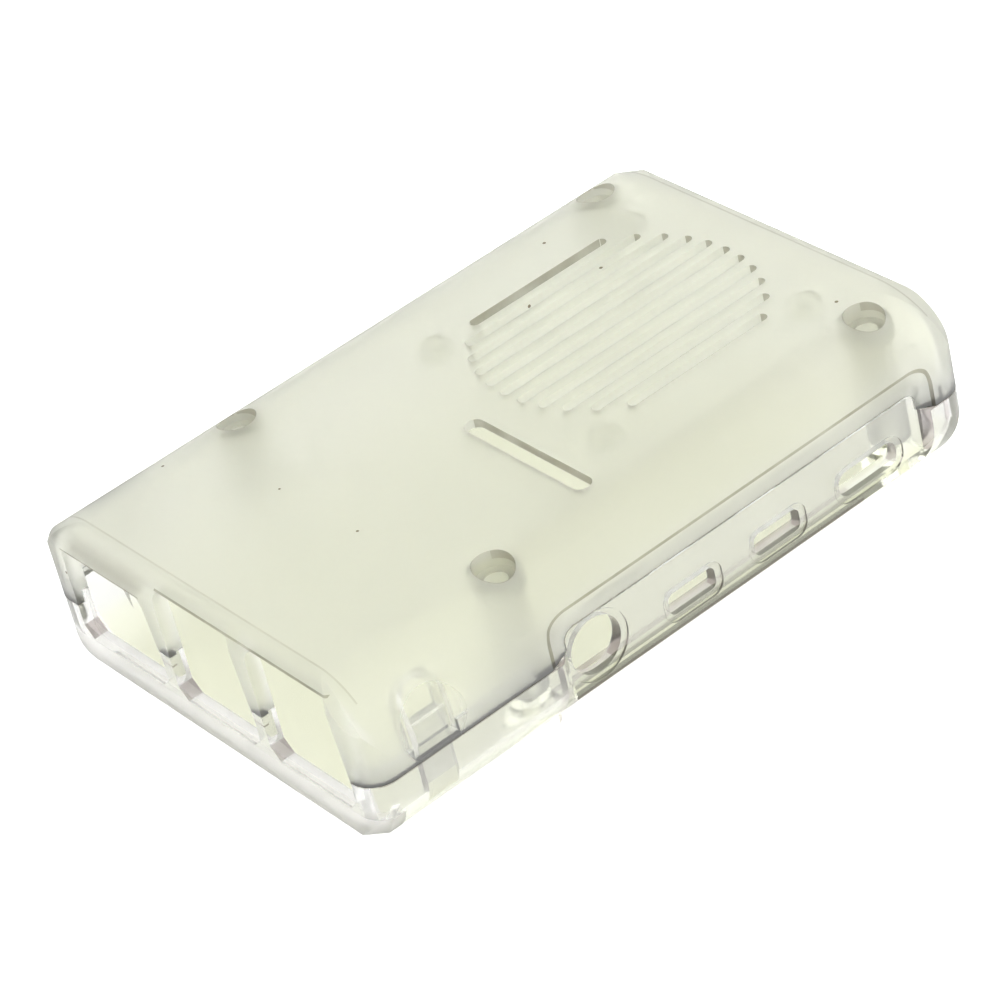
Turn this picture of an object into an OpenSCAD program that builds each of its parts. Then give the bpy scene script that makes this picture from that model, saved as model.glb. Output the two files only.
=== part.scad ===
// Two-shell moulded case for an 85 x 56 mm single board computer.
// X runs along the board, with the three tall sockets at the -X end.
// Y runs across it, with the row of small sockets on the -Y side.
// Z is up, and the feet stand on Z = 0.

/* [Case] */
// From the board's +X edge to the outside of that end
power_end = 4.6; // [4:0.1:5.2]
// From the board's -X edge to the outside of that end
tall_end = 3.1; // [2.8:0.1:4]
// From the board's long edges to the outside of the side walls
board_to_side = 3.6; // [3.5:0.1:5]
// Thickness of the side and end walls
wall = 2; // [1.6:0.1:2.4]
// Thickness of the roof
roof = 1.2; // [1:0.1:2]
// Thickness of the floor
floor_t = 1.5; // [1.2:0.1:2.5]
// Radius along the long top edges
top_r = 9; // [6:0.5:10]
// Radius along the long bottom edges
bottom_r = 7.5; // [4:0.5:8]
// Radius of the upright corners
corner_r = 3.6; // [2.6:0.1:3.6]
// Radius across the top corners of the +X end
power_corner_top_r = 8; // [6:0.2:9]
// Radius across the bottom corners of the +X end
power_corner_bottom_r = 9; // [7:0.2:9.6]
// Radius across the top corners of the -X end
tall_corner_top_r = 7; // [5:0.2:7]
// Radius across the bottom corners of the -X end
tall_corner_bottom_r = 7; // [5:0.2:8]
// Radius along the top edge of the +X end
power_end_top_r = 2; // [1.6:0.2:3]
// Radius along the bottom edge of the +X end
power_end_bottom_r = 6.4; // [4:0.2:7]
// Radius along the top edge of the -X end
tall_end_top_r = 3; // [2:0.2:3.6]
// Radius along the bottom edge of the -X end
tall_end_bottom_r = 2.8; // [2.2:0.2:3.6]
// Height of a foot below the floor
foot_h = 0.8; // [0.4:0.1:2]
// Diameter of a foot
foot_d = 7; // [4:0.5:8]

/* [Board space] */
// Length of the board
board_l = 85; // [84:0.5:86]
// Width of the board
board_w = 56; // [55:0.5:57]
// Thickness of the board
board_t = 1.5; // [1:0.1:2]
// Clear height under the board
below_board = 1.9; // [1.5:0.1:4]
// Clear height over the board
above_board = 16.15; // [16:0.05:19]
// From the board's corner to its first hole, and from its far edge to the other row
hole_inset = 3.5; // [3.5:0.1:4]
// Hole spacing along the board
hole_span_x = 58; // [56:0.5:60]

/* [Seam] */
// Height of the seam over the board's top face
seam_over_board = 5.2; // [4:0.2:6]
// Height of the locating lip over the seam
lip_h = 1.6; // [1:0.1:2]
// Gap between parts that slide together
fit_gap = 0.1; // [0.05:0.05:0.2]

/* [Screw posts] */
// Diameter of a post round the screw head
head_post_d = 6.4; // [6.2:0.2:8]
// Diameter of a post below the screw head
post_d = 5.2; // [4.8:0.2:6.4]
// Diameter of the recess for the screw head
head_d = 5; // [4.6:0.1:5.6]
// Depth of the recess for the screw head
head_depth = 2.2; // [1.6:0.1:4]
// Diameter of the screw's clearance hole
screw_d = 2.9; // [2.6:0.1:3.4]
// Diameter of the screw's pilot hole
pilot_d = 2.2; // [1.8:0.1:2.4]

/* [Fan grille] */
// Distance of the grille's centre from the board's +X edge
grille_x = 21.1; // [20:0.1:24]
// Distance of the grille's centre from the board's -Y edge
grille_y = 28.2; // [27:0.1:30]
// Radius of the circle that the slots fill
grille_r = 18.4; // [14:0.2:19]
// Width of a slot
slot_w = 1.5; // [1:0.1:2]
// Spacing of the slots
slot_pitch = 2.95; // [2.6:0.05:4]
// Spacing of the fan's four bosses
fan_span = 32; // [30:0.5:33]
// Diameter of a fan boss
fan_boss_d = 4.4; // [4:0.2:6]
// Height of a fan boss under the roof
fan_boss_h = 1.2; // [1:0.2:5]
// Diameter of a fan boss's pilot hole
fan_pilot_d = 1.8; // [1.4:0.1:2.4]

/* [Ribbon slot] */
// Distance of the ribbon slot from the board's +X edge
ribbon_x = 45.5; // [44:0.1:50]
// Distance of its middle from the board's -Y edge
ribbon_y = 16.3; // [16:0.1:20]
// Length of the ribbon slot
ribbon_l = 22; // [17:0.5:23]
// Width of the ribbon slot
ribbon_w = 2.6; // [2:0.1:3.4]

/* [Port panel] */
// Thickness of the panel that holds the small sockets
panel_t = 1.3; // [1:0.1:1.4]
// Start of the open part of the panel from the board's +X edge
panel_start = 2.6; // [2:0.1:4]
// End of the open part of the panel from the board's +X edge
panel_end = 58.3; // [58:0.1:60]
// Top of the open part of the panel over the board's top face
panel_top = 7.8; // [7.2:0.1:7.8]
// How far the open part of the panel stands out from the rest of it
panel_raise = 0.6; // [0.3:0.1:0.8]
// How far the panel runs on behind the upper shell
panel_lap = 1.1; // [0.8:0.1:1.2]
// Spread of the recess towards -X, from the panel to the outside
recess_spread = 3.2; // [1.5:0.1:3.5]
// Spread of the recess towards +X, from the panel to the outside
recess_spread_end = 1.8; // [1:0.1:3]
// Rise of the recess, from the panel to the outside
recess_rise = 6; // [4:0.1:6.4]
// Corner radius of the recess on the outside
recess_r = 3; // [2.5:0.1:5]
// Depth of the pads cut round the sockets
pad_depth = 0.3; // [0.2:0.05:0.5]
// Margin of a pad round its socket
pad_margin = 0.9; // [0.8:0.1:1.3]
// Width of the ledge that carries the board's edge
ledge_w = 2.2; // [1.5:0.1:3]

/* [Small sockets] */
// Distance of the power socket from the board's +X edge
power_x = 11.2; // [10.8:0.1:11.6]
// Width of the power socket's slot
power_w = 9.4; // [9:0.1:10]
// Height of the power socket's slot
power_h = 3.4; // [3.2:0.1:3.6]
// Corner radius of the power socket's slot
power_r = 1.5; // [1:0.1:1.5]
// Distances of the two video sockets from the board's +X edge
video_x = [26, 39.5]; // [20:0.5:42]
// Width of a video socket's slot
video_w = 7.2; // [6.8:0.1:8]
// Height of a video socket's slot
video_h = 3; // [2.8:0.1:3.4]
// Corner radius of a video socket's slot
video_r = 0.9; // [0.5:0.1:1.2]
// Distance of the round jack from the board's +X edge
jack_x = 54; // [53.8:0.1:54.2]
// Diameter of the round jack's hole
jack_d = 7.4; // [6.6:0.1:7.4]
// Height of the jack's axis over the board's top face
jack_z = 3.2; // [3:0.1:3.3]
// Height of the other sockets' axes over the board's top face
port_z = 1.5; // [1.4:0.1:1.7]

/* [Tall sockets] */
// Distances of the two stacked sockets from the board's -Y edge
stack_y = [9, 27]; // [8:0.5:28]
// Width of a stacked socket's opening
stack_w = 14.8; // [13.6:0.1:15.2]
// Distance of the network socket from the board's +Y edge
net_from_edge = 10.15; // [9.5:0.05:10.5]
// Width of the network socket's opening
net_w = 16.2; // [16:0.1:16.6]
// Height of the network socket's opening over the board's top face
net_h = 13.7; // [13.5:0.1:14.5]
// Height of the openings' sills over the board's top face
sill_h = 0.8; // [0.2:0.1:1]
// Size of the slanted lower corners of the openings
sill_corner = 1.5; // [1:0.1:2.4]
// How far the openings widen to -Y from their tops down to the seam
opening_lean = 1.3; // [0:0.1:1.4]
// Height over the seam where the upper shell's bars between the openings end
bar_rise = 1.3; // [0.6:0.1:1.6]
// Radius of the openings' top corners
opening_r = 1; // [0.5:0.1:1.5]

/* [Card slot] */
// Width of the memory card's slot in the +X end
card_w = 15; // [13:0.5:18]
// Height of the memory card's slot
card_h = 1.8; // [1.4:0.1:1.8]

/* [Snap tongues] */
// Distance of the tongues from the board's -X edge
snap_from_edge = 7; // [5:0.5:10]
// Width of the pocket round a tongue
snap_pocket_w = 6.4; // [6:0.2:8]
// Thickness of the pocket's rib
snap_rib = 0.9; // [0.8:0.1:1.1]
// Depth of the pocket's rib in from the wall
snap_depth = 1.8; // [1.6:0.1:2.4]
// Height of the pocket over the seam
snap_pocket_h = 9; // [8:0.2:10]
// Height of the tongue over the seam
snap_h = 3.6; // [3:0.1:4]
// Thickness of the tongue
snap_t = 1.2; // [1:0.1:1.4]
// How far the tongue's catch stands out
catch_h = 0.4; // [0.2:0.05:0.6]

/* [Hidden] */
$fn = 64;
cut = 1;
corner_clear = 0.3;

// Size of the case over its walls
case_l = board_l + power_end + tall_end;
case_w = board_w + 2 * board_to_side;

// Heights over the surface that the feet stand on
floor_z = foot_h + floor_t;
board_under_z = floor_z + below_board;
board_top_z = board_under_z + board_t;
seam_z = board_top_z + seam_over_board;
roof_under_z = board_top_z + above_board;
case_top_z = roof_under_z + roof;

// Places on the board, as X and Y in the case
function board_x(along) = case_l / 2 - power_end - along;
function board_y(across) = across - board_w / 2;
hole_xs = [board_x(hole_inset), board_x(hole_inset + hole_span_x)];
hole_ys = [board_y(hole_inset), board_y(board_w - hole_inset)];

// Faces of the side walls and of the port panel
side_y = case_w / 2;
inner_y = side_y - wall;
panel_y = inner_y - fit_gap;
window_y = panel_y + panel_raise;

snap_x = board_x(board_l - snap_from_edge);
net_y = board_w - net_from_edge;

// Rows of the fan grille, counted each way from its middle
grille_rows = floor((grille_r - slot_w) / slot_pitch);
catch_z = seam_z + snap_h - snap_t - catch_h;

// What is cut off a square corner to round it
module corner_waste(x, y, turn, r) {
    translate([x, y])
        rotate(turn)
            difference() {
                translate([-cut, -cut]) square([r + cut, r + cut]);
                translate([r, r]) circle(r);
            }
}

// Upright rectangle with a radius for each corner, from the low left one round
module soft_rect(w, low, high, radii) {
    difference() {
        translate([-w / 2, low]) square([w, high - low]);
        corner_waste(-w / 2, low, 0, radii[0]);
        corner_waste(w / 2, low, 90, radii[1]);
        corner_waste(w / 2, high, 180, radii[2]);
        corner_waste(-w / 2, high, 270, radii[3]);
    }
}

// Flat rectangle with round corners, about its middle
module round_rect(l, w, r) {
    square([l, w - 2 * r], center = true);
    square([l - 2 * r, w], center = true);
    for (x = [-1, 1]) {
        for (y = [-1, 1]) {
            translate([x * (l / 2 - r), y * (w / 2 - r)]) circle(r);
        }
    }
}

// Body that is round along its long edges, short edges and upright corners
module rounded_body(inset, low, high) {
    l = case_l - 2 * inset;
    w = case_w - 2 * inset;
    side_radii = [bottom_r - inset, bottom_r - inset, top_r - inset, top_r - inset];
    end_radii = [
        max(tall_end_bottom_r - inset, 0.4),
        max(power_end_bottom_r - inset, 0.4),
        max(power_end_top_r - inset, 0.4),
        max(tall_end_top_r - inset, 0.4)
    ];
    upright_r = max(corner_r - inset, 0.6);
    intersection() {
        rotate([90, 0, 90])
            linear_extrude(l, center = true)
                soft_rect(w, low, high, side_radii);
        rotate([90, 0, 0])
            linear_extrude(w, center = true)
                soft_rect(l, low, high, end_radii);
        translate([0, 0, low])
            linear_extrude(high - low)
                round_rect(l, w, upright_r);
        diagonal_body(45, l, w, upright_r, low, high, [
            power_corner_bottom_r - inset,
            tall_corner_bottom_r - inset,
            tall_corner_top_r - inset,
            power_corner_top_r - inset
        ]);
        diagonal_body(-45, l, w, upright_r, low, high, [
            tall_corner_bottom_r - inset,
            power_corner_bottom_r - inset,
            power_corner_top_r - inset,
            tall_corner_top_r - inset
        ]);
    }
}

// Bar along a diagonal of the case, which rounds the two corners beside it
module diagonal_body(turn, l, w, upright_r, low, high, radii) {
    across = (l + w) / sqrt(2) - 2 * upright_r * (sqrt(2) - 1) + 2 * corner_clear;
    rotate([0, 0, turn])
        rotate([90, 0, 90])
            linear_extrude(2 * l, center = true)
                soft_rect(across, low, high, radii);
}

module outer_body() {
    rounded_body(0, foot_h, case_top_z);
}

module inner_space() {
    rounded_body(wall, floor_z, roof_under_z);
}

module above_seam() {
    translate([-case_l, -case_w, seam_z]) cube([2 * case_l, 2 * case_w, 2 * case_top_z]);
}

module below_seam() {
    translate([-case_l, -case_w, seam_z - 2 * case_top_z]) cube([2 * case_l, 2 * case_w, 2 * case_top_z]);
}

// Something repeated at the board's four holes
module at_board_holes() {
    for (x = hole_xs) {
        for (y = hole_ys) {
            translate([x, y, 0]) children();
        }
    }
}

// Something repeated at the fan's four screws
module at_fan_screws() {
    for (x = [-1, 1]) {
        for (y = [-1, 1]) {
            translate([board_x(grille_x) + x * fan_span / 2, board_y(grille_y) + y * fan_span / 2, 0])
                children();
        }
    }
}

// Something repeated at the snap tongue of each side wall
module at_snaps() {
    translate([snap_x, 0, 0]) children();
    translate([snap_x, 0, 0]) mirror([0, 1, 0]) children();
}

// Slot with round ends along X, cut down through z = 0
module round_slot(l, w, depth) {
    translate([0, 0, -depth])
        linear_extrude(2 * depth) {
            square([l - w, w], center = true);
            for (end = [-1, 1]) {
                translate([end * (l - w) / 2, 0]) circle(w / 2);
            }
        }
}

// Slots that fill the fan's circle
module grille_slots() {
    for (row = [-grille_rows:grille_rows]) {
        across = row * slot_pitch;
        translate([board_x(grille_x), board_y(grille_y) + across, case_top_z])
            round_slot(2 * sqrt(grille_r * grille_r - across * across), slot_w, roof + cut);
    }
}

module ribbon_slot() {
    translate([board_x(ribbon_x), board_y(ribbon_y), case_top_z])
        rotate(90)
            round_slot(ribbon_l, ribbon_w, roof + cut);
}

// Post that runs from the roof down to the board
module screw_post() {
    translate([0, 0, board_top_z]) cylinder(h = case_top_z - board_top_z, d = post_d);
    translate([0, 0, case_top_z - head_depth - roof])
        cylinder(h = head_depth + roof, d = head_post_d);
}

module screw_post_bore() {
    translate([0, 0, case_top_z - head_depth]) cylinder(h = head_depth + cut, d = head_d);
    translate([0, 0, board_top_z - cut]) cylinder(h = case_top_z - board_top_z, d = screw_d);
}

// Outline of one tall opening at the -X end, as Y and Z
module tall_opening_outline(w, top) {
    low = board_top_z + sill_h;
    wide = -w / 2 - opening_lean;
    difference() {
        polygon([
            [wide + sill_corner, low],
            [w / 2 - sill_corner, low],
            [w / 2, low + sill_corner],
            [w / 2, top],
            [-w / 2, top],
            [wide, seam_z],
            [wide, low + sill_corner]
        ]);
        corner_waste(w / 2, top, 180, opening_r);
        corner_waste(-w / 2, top, 270, opening_r);
    }
}

module tall_opening(across, w, top) {
    translate([-case_l / 2 - cut, board_y(across), 0])
        rotate([90, 0, 90])
            linear_extrude(cut + wall + fit_gap)
                tall_opening_outline(w, top);
}

module tall_openings() {
    for (across = stack_y) {
        tall_opening(across, stack_w, roof_under_z);
    }
    tall_opening(net_y, net_w, board_top_z + net_h);
}

// Stretch of the end wall where the seam is higher, at the bars between the openings
module bar_zone(below) {
    y_low = board_y(stack_y[0]);
    translate([-case_l / 2 - cut, y_low, seam_z - below])
        cube([cut + wall, board_y(net_y) - y_low, below + bar_rise]);
}

// Outline of the recess at one depth, as X and Z, with its top corners round
module recess_outline(spread, spread_end, rise, r) {
    x_low = board_x(panel_end) - spread;
    x_high = board_x(panel_start) + spread_end;
    top = board_top_z + panel_top + rise;
    translate([x_low, seam_z - cut]) square([x_high - x_low, top - r - seam_z + cut]);
    translate([x_low + r, seam_z - cut]) square([x_high - x_low - 2 * r, top - seam_z + cut]);
    for (x = [x_low + r, x_high - r]) {
        translate([x, top - r]) circle(r, $fn = 32);
    }
}

// Recess in the upper shell: a straight window, which widens from the panel's face to the outside
module upper_recess() {
    thin = 0.02;
    translate([0, -inner_y + cut, 0])
        rotate([90, 0, 0])
            linear_extrude(cut + window_y - inner_y) recess_outline(0, 0, 0, recess_r / 2);
    hull() {
        translate([0, -window_y + thin, 0])
            rotate([90, 0, 0])
                linear_extrude(thin) recess_outline(0, 0, 0, recess_r / 2);
        translate([0, -side_y, 0])
            rotate([90, 0, 0])
                linear_extrude(thin) recess_outline(recess_spread, recess_spread_end, recess_rise, recess_r);
    }
    translate([0, -side_y, 0])
        rotate([90, 0, 0])
            linear_extrude(cut) recess_outline(recess_spread, recess_spread_end, recess_rise, recess_r);
}

// Recess in the lower shell, straight down through the rounded edge
module lower_recess() {
    x_low = board_x(panel_end);
    x_high = board_x(panel_start);
    x_out = x_low - recess_spread / 2;
    x_end = x_high + recess_spread_end / 2;
    translate([0, 0, -cut])
        linear_extrude(seam_z + cut)
            polygon([
                [x_low, -window_y],
                [x_out, -side_y],
                [x_out, -side_y - cut],
                [x_end, -side_y - cut],
                [x_end, -side_y],
                [x_high, -window_y]
            ]);
}

// Lip of the lower shell that stands inside the upper shell's wall
module seam_lip() {
    inset = wall / 2 + fit_gap;
    difference() {
        translate([0, 0, seam_z - lip_h])
            linear_extrude(2 * lip_h)
                round_rect(case_l - 2 * inset, case_w - 2 * inset, corner_r - inset);
        translate([0, 0, seam_z - lip_h - cut])
            linear_extrude(2 * lip_h + 2 * cut)
                round_rect(case_l - 2 * wall, case_w - 2 * wall, max(corner_r - wall, 0.6));
        lip_gaps();
    }
}

// Room in the upper shell's wall for the lip
module lip_rebate() {
    difference() {
        translate([0, 0, seam_z - cut])
            linear_extrude(lip_h + fit_gap + cut)
                round_rect(case_l - wall, case_w - wall, corner_r - wall / 2);
        lip_gaps();
    }
}

// Stretches of wall that carry no lip: the port panel and the snap pockets
module lip_gaps() {
    x_low = board_x(panel_end) - recess_spread - wall;
    x_high = board_x(panel_start) + recess_spread_end + wall;
    translate([x_low, -case_w, 0]) cube([min(x_high, case_l / 2 - corner_r) - x_low, case_w, case_top_z]);
    at_snaps()
        translate([-snap_pocket_w / 2, -case_w, 0]) cube([snap_pocket_w, case_w, case_top_z]);
}

// Rib round a snap tongue, with a round top
module snap_pocket_outline(w) {
    translate([-w / 2, seam_z]) square([w, snap_pocket_h - snap_pocket_w / 2]);
    translate([0, seam_z + snap_pocket_h - snap_pocket_w / 2]) circle(w / 2);
}

module snap_pocket() {
    translate([0, -inner_y + snap_depth, 0])
        rotate([90, 0, 0])
            linear_extrude(snap_depth + wall / 2)
                difference() {
                    snap_pocket_outline(snap_pocket_w);
                    snap_pocket_outline(snap_pocket_w - 2 * snap_rib);
                }
}

// Notch in the upper shell's wall that holds the tongue's catch
module catch_notch() {
    tongue_w = snap_pocket_w - 2 * snap_rib - 2 * fit_gap;
    notch_h = 2 * catch_h + 2 * fit_gap + snap_t;
    translate([-tongue_w / 2 - fit_gap, -inner_y - catch_h - fit_gap, catch_z - fit_gap - snap_t / 2])
        cube([tongue_w + 2 * fit_gap, catch_h + 2 * fit_gap, notch_h + snap_t / 2]);
}

module snap_tongue() {
    tongue_w = snap_pocket_w - 2 * snap_rib - 2 * fit_gap;
    intersection() {
        translate([-tongue_w / 2, -panel_y, foot_h]) cube([tongue_w, snap_t, seam_z + snap_h - foot_h]);
        translate([-snap_x, 0, 0]) outer_body();
    }
    translate([-tongue_w / 2, -panel_y, catch_z + snap_t / 2])
        rotate([90, 0, 90])
            linear_extrude(tongue_w)
                polygon([[0, -snap_t / 2], [-catch_h, 0], [0, snap_t]]);
}

// Panel that stands up from the lower shell behind the upper shell's recess
module port_panel() {
    x_low = board_x(panel_end) - panel_lap;
    x_high = board_x(panel_start) + panel_lap;
    top = board_top_z + panel_top + panel_lap;
    r = recess_r / 2;
    translate([0, -panel_y + panel_t, 0])
        rotate([90, 0, 0])
            linear_extrude(panel_t) {
                translate([x_low, floor_z]) square([x_high - x_low, top - r - floor_z]);
                translate([x_low + r, floor_z]) square([x_high - x_low - 2 * r, top - floor_z]);
                for (x = [x_low + r, x_high - r]) {
                    translate([x, top - r]) circle(r);
                }
            }
    translate([x_low, -inner_y - fit_gap, floor_z])
        cube([x_high - x_low, inner_y - panel_y + 2 * fit_gap, seam_z - floor_z]);
    translate([0, -panel_y + fit_gap, 0])
        rotate([90, 0, 0])
            linear_extrude(panel_raise + fit_gap) {
                recess_outline(-fit_gap, -fit_gap, -fit_gap, recess_r / 2 - fit_gap);
                translate([x_low + panel_lap, floor_z])
                    square([x_high - x_low - 2 * panel_lap, seam_z - cut / 2 - floor_z]);
            }
}

// Ledge behind the panel, under the board's edge
module board_ledge() {
    x_low = board_x(panel_end) - panel_lap;
    x_high = board_x(panel_start) + panel_lap;
    translate([x_low, -panel_y, foot_h])
        cube([x_high - x_low, panel_t + ledge_w, board_under_z - foot_h]);
}

// A socket's opening through the panel, with a shallow pad round it
module socket_cut(along, z) {
    translate([board_x(along), -panel_y + panel_t + cut, board_top_z + z])
        rotate([90, 0, 0])
            linear_extrude(panel_raise + panel_t + 2 * cut)
                children(0);
    translate([board_x(along), -window_y + pad_depth, board_top_z + z])
        rotate([90, 0, 0])
            linear_extrude(pad_depth + cut)
                children(1);
}

module socket_cuts() {
    socket_cut(power_x, port_z) {
        round_rect(power_w, power_h, power_r);
        round_rect(power_w + 2 * pad_margin, power_h + 2 * pad_margin, power_r + pad_margin);
    }
    for (along = video_x) {
        socket_cut(along, port_z) {
            round_rect(video_w, video_h, video_r);
            round_rect(video_w + 2 * pad_margin, video_h + 2 * pad_margin, video_r + pad_margin);
        }
    }
    socket_cut(jack_x, jack_z) {
        circle(jack_d / 2);
        circle(jack_d / 2 + pad_margin);
    }
}

// Slot for the memory card under the board at the +X end
module card_slot() {
    depth = wall + power_end_bottom_r / 2;
    translate([case_l / 2 - depth, 0, board_under_z - card_h / 2])
        rotate([90, 0, 90])
            linear_extrude(depth + cut)
                round_rect(card_w, card_h, card_h / 2 - 0.1);
}

module boss() {
    translate([0, 0, floor_z - floor_t / 2])
        cylinder(h = board_under_z - floor_z + floor_t / 2, d = post_d);
}

module foot() {
    cylinder(h = floor_z - floor_t / 2, d = foot_d);
}

module pilot_bore() {
    translate([0, 0, foot_h]) cylinder(h = board_top_z, d = pilot_d);
}

module upper_shell() {
    color([0.9, 0.92, 0.86, 0.5])
        difference() {
            union() {
                intersection() {
                    difference() {
                        outer_body();
                        inner_space();
                        lip_rebate();
                    }
                    above_seam();
                }
                intersection() {
                    union() {
                        at_board_holes() screw_post();
                        at_snaps() snap_pocket();
                    }
                    outer_body();
                }
                at_fan_screws()
                    translate([0, 0, roof_under_z - fan_boss_h])
                        cylinder(h = fan_boss_h + roof / 2, d = fan_boss_d);
            }
            at_board_holes() screw_post_bore();
            at_fan_screws()
                translate([0, 0, roof_under_z - fan_boss_h - cut])
                    cylinder(h = fan_boss_h + cut, d = fan_pilot_d);
            at_snaps() catch_notch();
            grille_slots();
            ribbon_slot();
            tall_openings();
            bar_zone(cut);
            upper_recess();
        }
}

module lower_shell() {
    color([0.93, 0.94, 0.9, 0.5])
        difference() {
            union() {
                difference() {
                    intersection() {
                        outer_body();
                        below_seam();
                    }
                    inner_space();
                    lower_recess();
                }
                seam_lip();
                intersection() {
                    outer_body();
                    bar_zone(0);
                }
                intersection() {
                    union() {
                        port_panel();
                        board_ledge();
                    }
                    outer_body();
                }
                at_snaps() snap_tongue();
                at_board_holes() boss();
                at_board_holes() foot();
            }
            socket_cuts();
            tall_openings();
            card_slot();
            at_board_holes() pilot_bore();
        }
}

upper_shell();
lower_shell();
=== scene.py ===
import bpy
import math
from mathutils import Matrix, Vector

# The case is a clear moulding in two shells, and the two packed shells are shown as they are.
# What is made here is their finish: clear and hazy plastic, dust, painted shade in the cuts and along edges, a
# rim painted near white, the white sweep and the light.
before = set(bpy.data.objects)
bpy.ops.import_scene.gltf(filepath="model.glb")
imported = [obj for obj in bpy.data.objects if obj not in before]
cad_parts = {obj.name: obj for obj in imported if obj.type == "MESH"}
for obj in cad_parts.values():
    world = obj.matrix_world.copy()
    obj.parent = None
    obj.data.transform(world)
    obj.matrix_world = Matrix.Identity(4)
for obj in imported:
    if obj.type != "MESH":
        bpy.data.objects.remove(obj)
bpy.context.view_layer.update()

# Camera, at the photograph's viewing angle
# The photograph is taken from above the corner between the tall openings and the port panel,
# with a long lens, and the camera is held a little out of level.
CAMERA_AZIMUTH = math.radians(-31.73)
CAMERA_ELEVATION = math.radians(35.03)
CAMERA_ROLL = math.radians(-14.06)
CAMERA_DISTANCE = 0.4913
CAMERA_TARGET = Vector((-0.00295, -0.0022, 0.0117))
FOCAL_LENGTH_MM = 149.05
SENSOR_WIDTH_MM = 36.0

back = Vector((
    math.sin(CAMERA_AZIMUTH) * math.cos(CAMERA_ELEVATION),
    -math.cos(CAMERA_AZIMUTH) * math.cos(CAMERA_ELEVATION),
    math.sin(CAMERA_ELEVATION),
))
level_right = Vector((0.0, 0.0, 1.0)).cross(back).normalized()
level_up = back.cross(level_right)
right = math.cos(CAMERA_ROLL) * level_right + math.sin(CAMERA_ROLL) * level_up
up = back.cross(right)
camera_data = bpy.data.cameras.new("camera")
camera_data.lens = FOCAL_LENGTH_MM
camera_data.sensor_width = SENSOR_WIDTH_MM
camera_data.clip_start = 0.01
camera = bpy.data.objects.new("camera", camera_data)
bpy.context.scene.collection.objects.link(camera)
axes = Matrix((right, up, back)).transposed().to_4x4()
camera.matrix_world = Matrix.Translation(CAMERA_TARGET + CAMERA_DISTANCE * back) @ axes
bpy.context.scene.camera = camera

# Floor
# A sweep of smooth white paper that runs out of the picture on every side.
# It is lit like any sheet of paper, and what the camera sees of it is lifted to white.
SWEEP_SIZE = 6.0
PAPER_WHITE = (0.86, 0.86, 0.86, 1.0)
PAPER_LIFT = 0.75

half = SWEEP_SIZE / 2
sweep_mesh = bpy.data.meshes.new("sweep")
sweep_corners = [(-half, -half, 0), (half, -half, 0), (half, half, 0), (-half, half, 0)]
sweep_mesh.from_pydata(sweep_corners, [], [(0, 1, 2, 3)])
sweep = bpy.data.objects.new("sweep", sweep_mesh)
bpy.context.scene.collection.objects.link(sweep)
paper = bpy.data.materials.new("sweep_paper")
paper.use_nodes = True
nodes = paper.node_tree.nodes
links = paper.node_tree.links
shader = nodes["Principled BSDF"]
shader.inputs["Base Color"].default_value = PAPER_WHITE
shader.inputs["Roughness"].default_value = 0.9
shader.inputs["Specular IOR Level"].default_value = 0.0
shader.inputs["Emission Color"].default_value = (1.0, 1.0, 1.0, 1.0)
light_path = nodes.new("ShaderNodeLightPath")
seen_or_mirrored = nodes.new("ShaderNodeMath")
seen_or_mirrored.operation = "MAXIMUM"
links.new(light_path.outputs["Is Camera Ray"], seen_or_mirrored.inputs[0])
links.new(light_path.outputs["Is Glossy Ray"], seen_or_mirrored.inputs[1])
seen = nodes.new("ShaderNodeMath")
seen.operation = "MAXIMUM"
links.new(seen_or_mirrored.outputs[0], seen.inputs[0])
links.new(light_path.outputs["Is Transmission Ray"], seen.inputs[1])
lift = nodes.new("ShaderNodeMath")
lift.operation = "MULTIPLY"
lift.inputs[1].default_value = PAPER_LIFT
links.new(seen.outputs[0], lift.inputs[0])
links.new(lift.outputs[0], shader.inputs["Emission Strength"])
sweep_mesh.materials.append(paper)

# Light
# A white tent round the table gives soft light from all sides, a little weaker low down.
# The tent itself shows as plain white behind and through the case.
TENT_LOW = (0.9, 0.9, 0.9, 1.0)
TENT_HIGH = (0.82, 0.82, 0.82, 1.0)

tent = bpy.data.worlds.new("light_tent")
bpy.context.scene.world = tent
tent.use_nodes = True
nodes = tent.node_tree.nodes
links = tent.node_tree.links
tent_light = nodes["Background"]
direction = nodes.new("ShaderNodeTexCoord")
split = nodes.new("ShaderNodeSeparateXYZ")
links.new(direction.outputs["Generated"], split.inputs[0])
height_ramp = nodes.new("ShaderNodeValToRGB")
height_ramp.color_ramp.elements[0].position = 0.0
height_ramp.color_ramp.elements[0].color = TENT_LOW
height_ramp.color_ramp.elements[1].position = 0.5
height_ramp.color_ramp.elements[1].color = TENT_HIGH
links.new(split.outputs["Z"], height_ramp.inputs["Fac"])
links.new(height_ramp.outputs["Color"], tent_light.inputs["Color"])
tent_light.inputs["Strength"].default_value = 1.0
tent_cloth = nodes.new("ShaderNodeBackground")
tent_cloth.inputs["Color"].default_value = (1.0, 1.0, 1.0, 1.0)
light_path = nodes.new("ShaderNodeLightPath")
seen_or_through = nodes.new("ShaderNodeMath")
seen_or_through.operation = "MAXIMUM"
links.new(light_path.outputs["Is Camera Ray"], seen_or_through.inputs[0])
links.new(light_path.outputs["Is Transmission Ray"], seen_or_through.inputs[1])
choose = nodes.new("ShaderNodeMixShader")
links.new(seen_or_through.outputs[0], choose.inputs["Fac"])
links.new(tent_light.outputs[0], choose.inputs[1])
links.new(tent_cloth.outputs[0], choose.inputs[2])
links.new(choose.outputs[0], nodes["World Output"].inputs["Surface"])

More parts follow.
